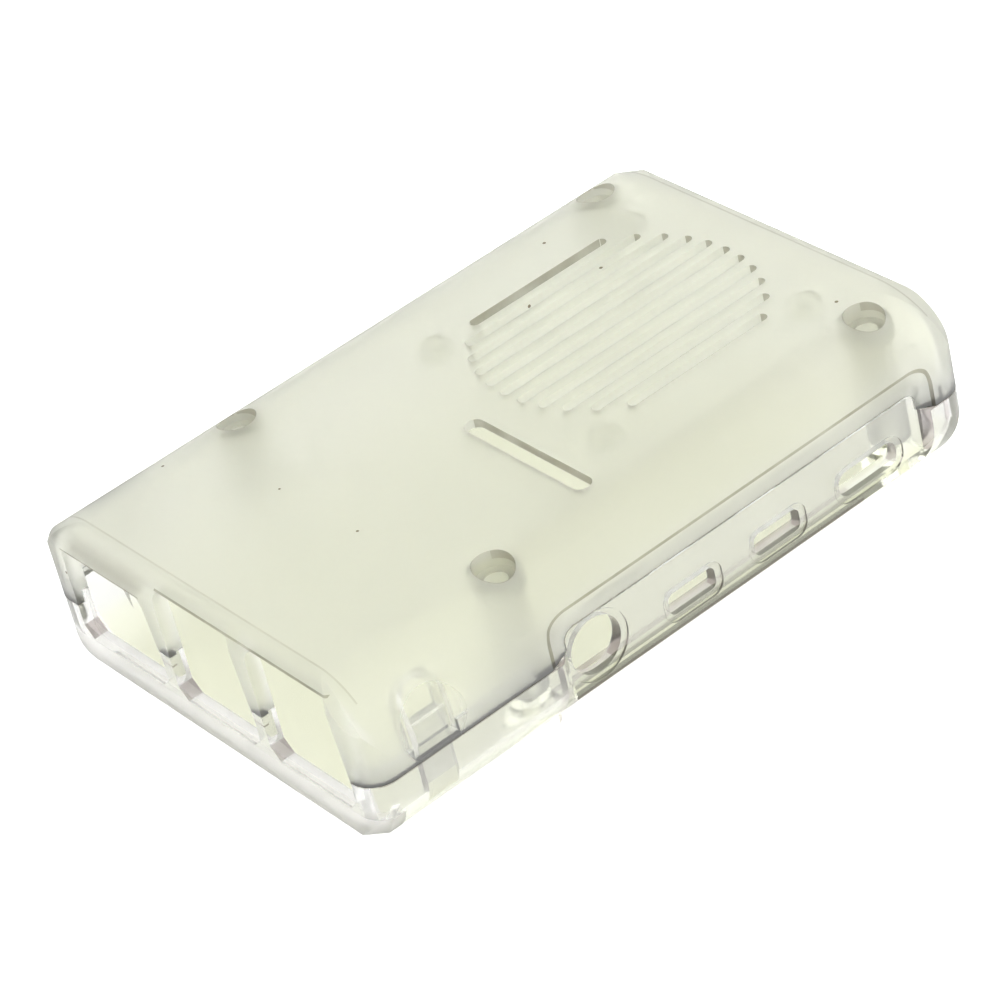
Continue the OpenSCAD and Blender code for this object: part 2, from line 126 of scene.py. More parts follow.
# A large soft lamp beside the camera brightens the long rounded edge over the small sockets.
lamp_data = bpy.data.lights.new("soft_box", "AREA")
lamp_data.shape = "RECTANGLE"
lamp_data.size = 0.7
lamp_data.size_y = 0.3
lamp_data.energy = 1.6
lamp = bpy.data.objects.new("soft_box", lamp_data)
bpy.context.scene.collection.objects.link(lamp)
lamp_place = Vector((0.27, -0.4, 0.4))
lamp.location = lamp_place
lamp.rotation_euler = (Vector((0.0, 0.0, 0.01)) - lamp_place).to_track_quat("-Z", "Y").to_euler()

# Lower shell
# One clear plastic moulding with the floor, the feet, the screw bosses and the port panel.
# Its skin is glossy, its floor is the thickest to look through and so the most olive.
LOWER_PALE = (0.89, 0.89, 0.875, 1.0)
LOWER_DEEP = (0.88, 0.89, 0.76, 1.0)
LOWER_DEEP_TOP = 0.0036
LOWER_DEEP_FADE = 0.003
LOWER_CLEAR = 0.84
LOWER_GLOSS = 0.08
LOWER_HAZE = 0.2
PLASTIC_IOR = 1.38
SCREW_MIDDLE_X = 0.00925
SCREW_SPAN_X = 0.058
SCREW_SPAN_Y = 0.049
SCREW_HEAD_RADIUS = 0.00256
RECESS_FLOOR = 0.0207
FAR_SLOT_Y = 0.0142
SILL_CORNER_Z = 0.00725
SEAM_Z = 0.0109
END_WALL_X = -0.0435
POWER_EDGE_X = 0.0444
TALL_EDGE_X = -0.0434
ROUNDING_R = 0.009
ROUNDING_Y = 0.0226
ROUNDING_Z = 0.01405
RECESS_MIDDLE_X = 0.0106
RECESS_HALF_X = 0.0306
WINDOW_TOP = 0.01355
WINDOW_MIDDLE_X = 0.0113
WINDOW_HALF_X = 0.0264
PANEL_BASE_Z = 0.0042
PANEL_BASE_Y = -0.0264
PANEL_WALL_SIDE = -0.0284
POCKET_X = -0.03625
POCKET_Y = 0.0305
POCKET_Z = 0.0145
POCKET_REACH = 0.0025
POCKET_FADE = 0.0065
POCKET_CLEARNESS = 0.3
RIM_X = -0.0425
RIM_Z = 0.0062
RIM_HAZE = 0.6
# Painted light: the low rim at the tall end is painted near white, standing in for the bright light it shows
RIM_PAINTED_LIGHT = (1.0, 0.99, 0.98, 1.0)
LINTEL_X = -0.0442
LINTEL_LINE = 0.0001
STACK_TOP_Z = 0.02195
STACKS_Y = -0.01
STACKS_HALF_Y = 0.0164
NET_TOP_Z = 0.0195
NET_Y = 0.01785
NET_HALF_Y = 0.0081
# Dark colour painted as shade in the cuts and along edges, also used for the seam line
LOWER_SHADE_AND_SEAM = (0.25, 0.2, 0.185, 1.0)
LOWER_WALL_SHADE_LEVEL = 0.005

# Bands of tint by height: deep below a level, pale above it
tint_bands = bpy.data.node_groups.new("tint_bands", "ShaderNodeTree")
tint_bands.interface.new_socket("Deep", in_out="INPUT", socket_type="NodeSocketColor")
tint_bands.interface.new_socket("Pale", in_out="INPUT", socket_type="NodeSocketColor")
tint_bands.interface.new_socket("Level", in_out="INPUT", socket_type="NodeSocketFloat")
tint_bands.interface.new_socket("Fade", in_out="INPUT", socket_type="NodeSocketFloat")
tint_bands.interface.new_socket("Tint", in_out="OUTPUT", socket_type="NodeSocketColor")
nodes = tint_bands.nodes
links = tint_bands.links
given = nodes.new("NodeGroupInput")
result = nodes.new("NodeGroupOutput")
place = nodes.new("ShaderNodeTexCoord")
split = nodes.new("ShaderNodeSeparateXYZ")
links.new(place.outputs["Object"], split.inputs[0])
fade_end = nodes.new("ShaderNodeMath")
fade_end.operation = "ADD"
links.new(given.outputs["Level"], fade_end.inputs[0])
links.new(given.outputs["Fade"], fade_end.inputs[1])
height = nodes.new("ShaderNodeMapRange")
height.interpolation_type = "SMOOTHSTEP"
links.new(split.outputs["Z"], height.inputs["Value"])
links.new(given.outputs["Level"], height.inputs["From Min"])
links.new(fade_end.outputs[0], height.inputs["From Max"])
cloud = nodes.new("ShaderNodeTexNoise")
cloud.inputs["Scale"].default_value = 60.0
cloud.inputs["Detail"].default_value = 1.0
links.new(place.outputs["Object"], cloud.inputs["Vector"])
drift = nodes.new("ShaderNodeMapRange")
drift.inputs["To Min"].default_value = -0.12
drift.inputs["To Max"].default_value = 0.12
links.new(cloud.outputs["Fac"], drift.inputs["Value"])
drifted = nodes.new("ShaderNodeMath")
drifted.operation = "ADD"
drifted.use_clamp = True
links.new(height.outputs["Result"], drifted.inputs[0])
links.new(drift.outputs["Result"], drifted.inputs[1])
# Painted light: below the rim height at the tall end the tint is painted near white
past_rim = nodes.new("ShaderNodeMath")
past_rim.operation = "LESS_THAN"
past_rim.inputs[1].default_value = RIM_X
links.new(split.outputs["X"], past_rim.inputs[0])
under_rim = nodes.new("ShaderNodeMath")
under_rim.operation = "LESS_THAN"
under_rim.inputs[1].default_value = RIM_Z
links.new(split.outputs["Z"], under_rim.inputs[0])
rim_part = nodes.new("ShaderNodeMath")
rim_part.operation = "MULTIPLY"
links.new(past_rim.outputs[0], rim_part.inputs[0])
links.new(under_rim.outputs[0], rim_part.inputs[1])
blend = nodes.new("ShaderNodeMix")
blend.data_type = "RGBA"
links.new(drifted.outputs[0], blend.inputs["Factor"])
links.new(given.outputs["Deep"], blend.inputs["A"])
links.new(given.outputs["Pale"], blend.inputs["B"])
whitened = nodes.new("ShaderNodeMix")
whitened.data_type = "RGBA"
whitened.inputs["B"].default_value = RIM_PAINTED_LIGHT
links.new(rim_part.outputs[0], whitened.inputs["Factor"])
links.new(blend.outputs["Result"], whitened.inputs["A"])
links.new(whitened.outputs["Result"], result.inputs["Tint"])

# Moulded skin: cloudy patches of haze, and the fine ripple left by the tool
moulded_skin = bpy.data.node_groups.new("moulded_skin", "ShaderNodeTree")
moulded_skin.interface.new_socket("Gloss", in_out="INPUT", socket_type="NodeSocketFloat")
moulded_skin.interface.new_socket("Haze", in_out="INPUT", socket_type="NodeSocketFloat")
moulded_skin.interface.new_socket("Roughness", in_out="OUTPUT", socket_type="NodeSocketFloat")
moulded_skin.interface.new_socket("Height", in_out="OUTPUT", socket_type="NodeSocketFloat")
nodes = moulded_skin.nodes
links = moulded_skin.links
given = nodes.new("NodeGroupInput")
result = nodes.new("NodeGroupOutput")
place = nodes.new("ShaderNodeTexCoord")
patches = nodes.new("ShaderNodeTexNoise")
patches.inputs["Scale"].default_value = 90.0
patches.inputs["Detail"].default_value = 2.0
links.new(place.outputs["Object"], patches.inputs["Vector"])
spread = nodes.new("ShaderNodeMapRange")
spread.inputs["From Min"].default_value = 0.3
spread.inputs["From Max"].default_value = 0.7
links.new(patches.outputs["Fac"], spread.inputs["Value"])
links.new(given.outputs["Gloss"], spread.inputs["To Min"])
links.new(given.outputs["Haze"], spread.inputs["To Max"])
skin_parts = nodes.new("ShaderNodeSeparateXYZ")
links.new(place.outputs["Object"], skin_parts.inputs[0])
either_side = nodes.new("ShaderNodeMath")
either_side.operation = "ABSOLUTE"
links.new(skin_parts.outputs["Y"], either_side.inputs[0])
skin_place = nodes.new("ShaderNodeCombineXYZ")
links.new(skin_parts.outputs["X"], skin_place.inputs["X"])
links.new(either_side.outputs[0], skin_place.inputs["Y"])
links.new(skin_parts.outputs["Z"], skin_place.inputs["Z"])
from_pocket = nodes.new("ShaderNodeVectorMath")
from_pocket.operation = "DISTANCE"
from_pocket.inputs[1].default_value = (POCKET_X, POCKET_Y, POCKET_Z)
links.new(skin_place.outputs["Vector"], from_pocket.inputs[0])
off_pocket = nodes.new("ShaderNodeMapRange")
off_pocket.interpolation_type = "SMOOTHSTEP"
off_pocket.inputs["From Min"].default_value = POCKET_REACH
off_pocket.inputs["From Max"].default_value = POCKET_REACH + POCKET_FADE
off_pocket.inputs["To Min"].default_value = POCKET_CLEARNESS
links.new(from_pocket.outputs["Value"], off_pocket.inputs["Value"])
skin_finish = nodes.new("ShaderNodeMath")
skin_finish.operation = "MULTIPLY"
links.new(spread.outputs["Result"], skin_finish.inputs[0])
links.new(off_pocket.outputs["Result"], skin_finish.inputs[1])
rim_end = nodes.new("ShaderNodeMath")
rim_end.operation = "LESS_THAN"
rim_end.inputs[1].default_value = RIM_X
links.new(skin_parts.outputs["X"], rim_end.inputs[0])
rim_low = nodes.new("ShaderNodeMath")
rim_low.operation = "LESS_THAN"
rim_low.inputs[1].default_value = RIM_Z
links.new(skin_parts.outputs["Z"], rim_low.inputs[0])
rim = nodes.new("ShaderNodeMath")
rim.operation = "MULTIPLY"
links.new(rim_end.outputs[0], rim.inputs[0])
links.new(rim_low.outputs[0], rim.inputs[1])
rim_haze = nodes.new("ShaderNodeMath")
rim_haze.operation = "MULTIPLY"
rim_haze.inputs[1].default_value = RIM_HAZE
links.new(rim.outputs[0], rim_haze.inputs[0])
finish = nodes.new("ShaderNodeMath")
finish.operation = "MAXIMUM"
links.new(skin_finish.outputs[0], finish.inputs[0])
links.new(rim_haze.outputs[0], finish.inputs[1])
links.new(finish.outputs[0], result.inputs["Roughness"])
ripple = nodes.new("ShaderNodeTexNoise")
ripple.inputs["Scale"].default_value = 420.0
ripple.inputs["Detail"].default_value = 0.0
links.new(place.outputs["Object"], ripple.inputs["Vector"])
links.new(ripple.outputs["Fac"], result.inputs["Height"])

# Painted shade: dark colour painted round the screw heads, on the narrow cut walls of slots and openings and
# along edges, where shade falls; also the dark seam line between the shells
painted_shade_and_seam = bpy.data.node_groups.new("painted_shade_and_seam", "ShaderNodeTree")
painted_shade_and_seam.interface.new_socket("Plastic", in_out="INPUT", socket_type="NodeSocketColor")
painted_shade_and_seam.interface.new_socket("Shade and seam", in_out="INPUT", socket_type="NodeSocketColor")
painted_shade_and_seam.interface.new_socket("Wall level", in_out="INPUT", socket_type="NodeSocketFloat")
painted_shade_and_seam.interface.new_socket("Wall side", in_out="INPUT", socket_type="NodeSocketFloat")
painted_shade_and_seam.interface.new_socket("Recess level", in_out="INPUT", socket_type="NodeSocketFloat")
painted_shade_and_seam.interface.new_socket("Colour", in_out="OUTPUT", socket_type="NodeSocketColor")
nodes = painted_shade_and_seam.nodes
links = painted_shade_and_seam.links
given = nodes.new("NodeGroupInput")
result = nodes.new("NodeGroupOutput")
place = nodes.new("ShaderNodeTexCoord")
# Painted shade: the screw head recesses are darkened, standing in for the shade inside them
from_middle = nodes.new("ShaderNodeVectorMath")
from_middle.operation = "SUBTRACT"
from_middle.inputs[1].default_value = (SCREW_MIDDLE_X, 0.0, 0.0)
links.new(place.outputs["Object"], from_middle.inputs[0])
folded = nodes.new("ShaderNodeVectorMath")
folded.operation = "ABSOLUTE"
links.new(from_middle.outputs["Vector"], folded.inputs[0])
from_screw = nodes.new("ShaderNodeVectorMath")
from_screw.operation = "SUBTRACT"
from_screw.inputs[1].default_value = (SCREW_SPAN_X / 2, SCREW_SPAN_Y / 2, 0.0)
links.new(folded.outputs["Vector"], from_screw.inputs[0])
flat = nodes.new("ShaderNodeVectorMath")
flat.operation = "MULTIPLY"
flat.inputs[1].default_value = (1.0, 1.0, 0.0)
links.new(from_screw.outputs["Vector"], flat.inputs[0])
radius = nodes.new("ShaderNodeVectorMath")
radius.operation = "LENGTH"
links.new(flat.outputs["Vector"], radius.inputs[0])
near_screw = nodes.new("ShaderNodeMath")
near_screw.operation = "LESS_THAN"
near_screw.inputs[1].default_value = SCREW_HEAD_RADIUS
links.new(radius.outputs["Value"], near_screw.inputs[0])
heights = nodes.new("ShaderNodeSeparateXYZ")
links.new(place.outputs["Object"], heights.inputs[0])
in_recess = nodes.new("ShaderNodeMath")
in_recess.operation = "GREATER_THAN"
links.new(heights.outputs["Z"], in_recess.inputs[0])
links.new(given.outputs["Recess level"], in_recess.inputs[1])
in_head = nodes.new("ShaderNodeMath")
in_head.operation = "MULTIPLY"
links.new(near_screw.outputs[0], in_head.inputs[0])
links.new(in_recess.outputs[0], in_head.inputs[1])
screw_recess_shade = nodes.new("ShaderNodeMath")
screw_recess_shade.operation = "MULTIPLY"
screw_recess_shade.inputs[1].default_value = 0.6
links.new(in_head.outputs[0], screw_recess_shade.inputs[0])
# Painted shade: above a given level, cut walls that face the tall end and the front-facing walls of the far slots
# are darkened, as shade falls in them
facing = nodes.new("ShaderNodeSeparateXYZ")
links.new(place.outputs["Normal"], facing.inputs[0])
is_high = nodes.new("ShaderNodeMath")
is_high.operation = "GREATER_THAN"
links.new(heights.outputs["Z"], is_high.inputs[0])
links.new(given.outputs["Wall level"], is_high.inputs[1])
across_case = nodes.new("ShaderNodeMath")
across_case.operation = "LESS_THAN"
across_case.inputs[1].default_value = -0.55
links.new(facing.outputs["X"], across_case.inputs[0])
far_slot = nodes.new("ShaderNodeMath")
far_slot.operation = "GREATER_THAN"
far_slot.inputs[1].default_value = FAR_SLOT_Y
links.new(heights.outputs["Y"], far_slot.inputs[0])
faces_front = nodes.new("ShaderNodeMath")
faces_front.operation = "LESS_THAN"
faces_front.inputs[1].default_value = -0.9
links.new(facing.outputs["Y"], faces_front.inputs[0])
far_wall = nodes.new("ShaderNodeMath")
far_wall.operation = "MULTIPLY"
links.new(far_slot.outputs[0], far_wall.inputs[0])
links.new(faces_front.outputs[0], far_wall.inputs[1])
any_wall = nodes.new("ShaderNodeMath")
any_wall.operation = "MAXIMUM"
links.new(across_case.outputs[0], any_wall.inputs[0])
links.new(far_wall.outputs[0], any_wall.inputs[1])
wall_side = nodes.new("ShaderNodeMath")
wall_side.operation = "LESS_THAN"
links.new(heights.outputs["Y"], wall_side.inputs[0])
links.new(given.outputs["Wall side"], wall_side.inputs[1])
off_end = nodes.new("ShaderNodeMath")
off_end.operation = "GREATER_THAN"
off_end.inputs[1].default_value = END_WALL_X
links.new(heights.outputs["X"], off_end.inputs[0])
wall_zone = nodes.new("ShaderNodeMath")
wall_zone.operation = "MULTIPLY"
links.new(wall_side.outputs[0], wall_zone.inputs[0])
links.new(off_end.outputs[0], wall_zone.inputs[1])
high_wall = nodes.new("ShaderNodeMath")
high_wall.operation = "MULTIPLY"
links.new(any_wall.outputs[0], high_wall.inputs[0])
links.new(is_high.outputs[0], high_wall.inputs[1])
slot_wall_shade = nodes.new("ShaderNodeMath")
slot_wall_shade.operation = "MULTIPLY"
links.new(high_wall.outputs[0], slot_wall_shade.inputs[0])
links.new(wall_zone.outputs[0], slot_wall_shade.inputs[1])
# Painted shade: a thin dark line just inside the skin along the lip of the port recess
lip_height = nodes.new("ShaderNodeMath")
lip_height.operation = "SUBTRACT"
lip_height.inputs[1].default_value = ROUNDING_Z
links.new(heights.outputs["Z"], lip_height.inputs[0])
over_rounding = nodes.new("ShaderNodeMath")
over_rounding.operation = "MAXIMUM"
over_rounding.inputs[1].default_value = 0.0
links.new(lip_height.outputs[0], over_rounding.inputs[0])
height_squared = nodes.new("ShaderNodeMath")
height_squared.operation = "POWER"
height_squared.inputs[1].default_value = 2.0
links.new(over_rounding.outputs[0], height_squared.inputs[0])
left_over = nodes.new("ShaderNodeMath")
left_over.operation = "SUBTRACT"
left_over.inputs[0].default_value = ROUNDING_R * ROUNDING_R
links.new(height_squared.outputs[0], left_over.inputs[1])
bulge = nodes.new("ShaderNodeMath")
bulge.operation = "SQRT"
links.new(left_over.outputs[0], bulge.inputs[0])
skin_y = nodes.new("ShaderNodeMath")
skin_y.operation = "ADD"
skin_y.inputs[1].default_value = ROUNDING_Y
links.new(bulge.outputs[0], skin_y.inputs[0])
below_skin = nodes.new("ShaderNodeMath")
below_skin.operation = "ADD"
links.new(skin_y.outputs[0], below_skin.inputs[0])
links.new(heights.outputs["Y"], below_skin.inputs[1])
near_skin = nodes.new("ShaderNodeMath")
near_skin.operation = "COMPARE"
near_skin.inputs[1].default_value = 0.00012
near_skin.inputs[2].default_value = 0.00019
links.new(below_skin.outputs[0], near_skin.inputs[0])
leans_down = nodes.new("ShaderNodeMath")
leans_down.operation = "LESS_THAN"
leans_down.inputs[1].default_value = -0.08
links.new(facing.outputs["Z"], leans_down.inputs[0])
sideways = nodes.new("ShaderNodeMath")
sideways.operation = "ABSOLUTE"
links.new(facing.outputs["X"], sideways.inputs[0])
leans_along = nodes.new("ShaderNodeMath")
leans_along.operation = "GREATER_THAN"
leans_along.inputs[1].default_value = 0.3
links.new(sideways.outputs[0], leans_along.inputs[0])
leans = nodes.new("ShaderNodeMath")
leans.operation = "MAXIMUM"
links.new(leans_down.outputs[0], leans.inputs[0])
links.new(leans_along.outputs[0], leans.inputs[1])
recess_reach = nodes.new("ShaderNodeMath")
recess_reach.operation = "COMPARE"
recess_reach.inputs[1].default_value = RECESS_MIDDLE_X
recess_reach.inputs[2].default_value = RECESS_HALF_X
links.new(heights.outputs["X"], recess_reach.inputs[0])
over_seam = nodes.new("ShaderNodeMath")
over_seam.operation = "GREATER_THAN"
over_seam.inputs[1].default_value = SEAM_Z
links.new(heights.outputs["Z"], over_seam.inputs[0])
lip_edge = nodes.new("ShaderNodeMath")
lip_edge.operation = "MULTIPLY"
links.new(near_skin.outputs[0], lip_edge.inputs[0])
links.new(leans.outputs[0], lip_edge.inputs[1])
lip_zone = nodes.new("ShaderNodeMath")
lip_zone.operation = "MULTIPLY"
links.new(recess_reach.outputs[0], lip_zone.inputs[0])
links.new(over_seam.outputs[0], lip_zone.inputs[1])
lip_shade_line = nodes.new("ShaderNodeMath")
lip_shade_line.operation = "MULTIPLY"
links.new(lip_edge.outputs[0], lip_shade_line.inputs[0])
links.new(lip_zone.outputs[0], lip_shade_line.inputs[1])
# Painted shade: a thin dark line along the top edge of the port panel's window
window_band = nodes.new("ShaderNodeMath")
window_band.operation = "COMPARE"
window_band.inputs[1].default_value = WINDOW_TOP
window_band.inputs[2].default_value = 0.00015
links.new(heights.outputs["Z"], window_band.inputs[0])
in_panel = nodes.new("ShaderNodeMath")
in_panel.operation = "LESS_THAN"
in_panel.inputs[1].default_value = -0.0299
links.new(heights.outputs["Y"], in_panel.inputs[0])
window_edge = nodes.new("ShaderNodeMath")
window_edge.operation = "MULTIPLY"
links.new(window_band.outputs[0], window_edge.inputs[0])
links.new(in_panel.outputs[0], window_edge.inputs[1])
window_reach = nodes.new("ShaderNodeMath")
window_reach.operation = "COMPARE"
window_reach.inputs[1].default_value = WINDOW_MIDDLE_X
window_reach.inputs[2].default_value = WINDOW_HALF_X
links.new(heights.outputs["X"], window_reach.inputs[0])
window_shade_line = nodes.new("ShaderNodeMath")
window_shade_line.operation = "MULTIPLY"
links.new(window_edge.outputs[0], window_shade_line.inputs[0])
links.new(window_reach.outputs[0], window_shade_line.inputs[1])
recess_shade_lines = nodes.new("ShaderNodeMath")
recess_shade_lines.operation = "MAXIMUM"
links.new(lip_shade_line.outputs[0], recess_shade_lines.inputs[0])
links.new(window_shade_line.outputs[0], recess_shade_lines.inputs[1])
# Painted shadow: a dark band along the base of the port panel
base_height = nodes.new("ShaderNodeMath")
base_height.operation = "LESS_THAN"
base_height.inputs[1].default_value = PANEL_BASE_Z
links.new(heights.outputs["Z"], base_height.inputs[0])
base_side = nodes.new("ShaderNodeMath")
base_side.operation = "LESS_THAN"
base_side.inputs[1].default_value = PANEL_BASE_Y
links.new(heights.outputs["Y"], base_side.inputs[0])
base_reach = nodes.new("ShaderNodeMath")
base_reach.operation = "COMPARE"
base_reach.inputs[1].default_value = 0.0055
base_reach.inputs[2].default_value = 0.0235
links.new(heights.outputs["X"], base_reach.inputs[0])
base_zone = nodes.new("ShaderNodeMath")
base_zone.operation = "MULTIPLY"
links.new(base_height.outputs[0], base_zone.inputs[0])
links.new(base_side.outputs[0], base_zone.inputs[1])
panel_base_shadow = nodes.new("ShaderNodeMath")
panel_base_shadow.operation = "MULTIPLY"
links.new(base_zone.outputs[0], panel_base_shadow.inputs[0])
links.new(base_reach.outputs[0], panel_base_shadow.inputs[1])
side_shade = nodes.new("ShaderNodeMath")
side_shade.operation = "MAXIMUM"
links.new(recess_shade_lines.outputs[0], side_shade.inputs[0])
links.new(panel_base_shadow.outputs[0], side_shade.inputs[1])
# Painted shade: the slanted chamfers of the tall openings' sills are darkened
sill_band = nodes.new("ShaderNodeMath")
sill_band.operation = "COMPARE"
sill_band.inputs[1].default_value = SILL_CORNER_Z
sill_band.inputs[2].default_value = 0.0009
links.new(heights.outputs["Z"], sill_band.inputs[0])
sill_slant = nodes.new("ShaderNodeMath")
sill_slant.operation = "COMPARE"
sill_slant.inputs[1].default_value = 0.71
sill_slant.inputs[2].default_value = 0.06
links.new(facing.outputs["Z"], sill_slant.inputs[0])
sill_faces = nodes.new("ShaderNodeMath")
sill_faces.operation = "LESS_THAN"
sill_faces.inputs[1].default_value = -0.6
links.new(facing.outputs["Y"], sill_faces.inputs[0])
sill_part = nodes.new("ShaderNodeMath")
sill_part.operation = "MULTIPLY"
links.new(sill_band.outputs[0], sill_part.inputs[0])
links.new(sill_slant.outputs[0], sill_part.inputs[1])
sill_shade = nodes.new("ShaderNodeMath")
sill_shade.operation = "MULTIPLY"
links.new(sill_part.outputs[0], sill_shade.inputs[0])
links.new(sill_faces.outputs[0], sill_shade.inputs[1])
seam_band = nodes.new("ShaderNodeMath")
seam_band.operation = "COMPARE"
seam_band.inputs[1].default_value = SEAM_Z
seam_band.inputs[2].default_value = 0.00013
links.new(heights.outputs["Z"], seam_band.inputs[0])
outside = nodes.new("ShaderNodeVectorMath")
outside.operation = "ABSOLUTE"
links.new(place.outputs["Object"], outside.inputs[0])
outside_parts = nodes.new("ShaderNodeSeparateXYZ")
links.new(outside.outputs["Vector"], outside_parts.inputs[0])
at_side = nodes.new("ShaderNodeMath")
at_side.operation = "GREATER_THAN"
at_side.inputs[1].default_value = 0.0309
links.new(outside_parts.outputs["Y"], at_side.inputs[0])
at_end = nodes.new("ShaderNodeMath")
at_end.operation = "GREATER_THAN"
at_end.inputs[1].default_value = 0.0457
links.new(outside_parts.outputs["X"], at_end.inputs[0])
at_skin = nodes.new("ShaderNodeMath")
at_skin.operation = "MAXIMUM"
links.new(at_side.outputs[0], at_skin.inputs[0])
links.new(at_end.outputs[0], at_skin.inputs[1])
seam_soil = nodes.new("ShaderNodeMath")
seam_soil.operation = "MULTIPLY"
links.new(seam_band.outputs[0], seam_soil.inputs[0])
links.new(at_skin.outputs[0], seam_soil.inputs[1])
sill_shade_and_seam = nodes.new("ShaderNodeMath")
sill_shade_and_seam.operation = "MAXIMUM"
links.new(sill_shade.outputs[0], sill_shade_and_seam.inputs[0])
links.new(seam_soil.outputs[0], sill_shade_and_seam.inputs[1])
high_shade = nodes.new("ShaderNodeMath")
high_shade.operation = "MAXIMUM"
links.new(screw_recess_shade.outputs[0], high_shade.inputs[0])
links.new(slot_wall_shade.outputs[0], high_shade.inputs[1])
both = nodes.new("ShaderNodeMath")
both.operation = "MAXIMUM"
links.new(high_shade.outputs[0], both.inputs[0])
links.new(sill_shade_and_seam.outputs[0], both.inputs[1])
# Painted shade: thin dark lines along the roof's end edges, standing in for the shade of refraction there
power_edge = nodes.new("ShaderNodeMath")
power_edge.operation = "COMPARE"
power_edge.inputs[1].default_value = POWER_EDGE_X
power_edge.inputs[2].default_value = 0.00012
links.new(heights.outputs["X"], power_edge.inputs[0])
tall_edge = nodes.new("ShaderNodeMath")
tall_edge.operation = "COMPARE"
tall_edge.inputs[1].default_value = TALL_EDGE_X
tall_edge.inputs[2].default_value = 0.00012
links.new(heights.outputs["X"], tall_edge.inputs[0])
roof_edges = nodes.new("ShaderNodeMath")
roof_edges.operation = "MAXIMUM"
links.new(power_edge.outputs[0], roof_edges.inputs[0])
links.new(tall_edge.outputs[0], roof_edges.inputs[1])
roof_band = nodes.new("ShaderNodeMath")
roof_band.operation = "GREATER_THAN"
roof_band.inputs[1].default_value = RECESS_FLOOR
links.new(heights.outputs["Z"], roof_band.inputs[0])
roof_line = nodes.new("ShaderNodeMath")
roof_line.operation = "MULTIPLY"
links.new(roof_edges.outputs[0], roof_line.inputs[0])
links.new(roof_band.outputs[0], roof_line.inputs[1])
roof_edge_shade = nodes.new("ShaderNodeMath")
roof_edge_shade.operation = "MULTIPLY"
roof_edge_shade.inputs[1].default_value = 0.45
links.new(roof_line.outputs[0], roof_edge_shade.inputs[0])
shade_lines = nodes.new("ShaderNodeMath")
shade_lines.operation = "MAXIMUM"
links.new(side_shade.outputs[0], shade_lines.inputs[0])
links.new(roof_edge_shade.outputs[0], shade_lines.inputs[1])
# Painted shade: thin dark lines along the lintels over the tall openings
in_end_wall = nodes.new("ShaderNodeMath")
in_end_wall.operation = "LESS_THAN"
in_end_wall.inputs[1].default_value = LINTEL_X
links.new(heights.outputs["X"], in_end_wall.inputs[0])
over_stacks = nodes.new("ShaderNodeMath")
over_stacks.operation = "COMPARE"
over_stacks.inputs[1].default_value = STACK_TOP_Z
over_stacks.inputs[2].default_value = LINTEL_LINE
links.new(heights.outputs["Z"], over_stacks.inputs[0])
stack_reach = nodes.new("ShaderNodeMath")
stack_reach.operation = "COMPARE"
stack_reach.inputs[1].default_value = STACKS_Y
stack_reach.inputs[2].default_value = STACKS_HALF_Y
links.new(heights.outputs["Y"], stack_reach.inputs[0])
stack_line = nodes.new("ShaderNodeMath")
stack_line.operation = "MULTIPLY"
links.new(over_stacks.outputs[0], stack_line.inputs[0])
links.new(stack_reach.outputs[0], stack_line.inputs[1])
over_net = nodes.new("ShaderNodeMath")
over_net.operation = "COMPARE"
over_net.inputs[1].default_value = NET_TOP_Z
over_net.inputs[2].default_value = LINTEL_LINE
links.new(heights.outputs["Z"], over_net.inputs[0])
net_reach = nodes.new("ShaderNodeMath")
net_reach.operation = "COMPARE"
net_reach.inputs[1].default_value = NET_Y
net_reach.inputs[2].default_value = NET_HALF_Y
links.new(heights.outputs["Y"], net_reach.inputs[0])
net_line = nodes.new("ShaderNodeMath")
net_line.operation = "MULTIPLY"
links.new(over_net.outputs[0], net_line.inputs[0])
links.new(net_reach.outputs[0], net_line.inputs[1])
lintel_line = nodes.new("ShaderNodeMath")
lintel_line.operation = "MAXIMUM"
links.new(stack_line.outputs[0], lintel_line.inputs[0])
links.new(net_line.outputs[0], lintel_line.inputs[1])
lintel_shade = nodes.new("ShaderNodeMath")
lintel_shade.operation = "MULTIPLY"
links.new(lintel_line.outputs[0], lintel_shade.inputs[0])
links.new(in_end_wall.outputs[0], lintel_shade.inputs[1])
shell_shade_and_seam = nodes.new("ShaderNodeMath")
shell_shade_and_seam.operation = "MAXIMUM"
links.new(both.outputs[0], shell_shade_and_seam.inputs[0])
links.new(shade_lines.outputs[0], shell_shade_and_seam.inputs[1])
all_shade_and_seam = nodes.new("ShaderNodeMath")
all_shade_and_seam.operation = "MAXIMUM"
links.new(shell_shade_and_seam.outputs[0], all_shade_and_seam.inputs[0])
links.new(lintel_shade.outputs[0], all_shade_and_seam.inputs[1])
# The painted shade and the dark seam line are laid on patchily, from about half to full strength
patchy = nodes.new("ShaderNodeTexNoise")
patchy.inputs["Scale"].default_value = 300.0
patchy.inputs["Detail"].default_value = 0.0
links.new(place.outputs["Object"], patchy.inputs["Vector"])
shade_strength = nodes.new("ShaderNodeMapRange")
shade_strength.inputs["To Min"].default_value = 0.55
shade_strength.inputs["To Max"].default_value = 1.0
links.new(patchy.outputs["Fac"], shade_strength.inputs["Value"])
darkening = nodes.new("ShaderNodeMath")
darkening.operation = "MULTIPLY"
links.new(all_shade_and_seam.outputs[0], darkening.inputs[0])
links.new(shade_strength.outputs["Result"], darkening.inputs[1])
blend = nodes.new("ShaderNodeMix")
blend.data_type = "RGBA"
links.new(darkening.outputs[0], blend.inputs["Factor"])
links.new(given.outputs["Plastic"], blend.inputs["A"])
links.new(given.outputs["Shade and seam"], blend.inputs["B"])
links.new(blend.outputs["Result"], result.inputs["Colour"])

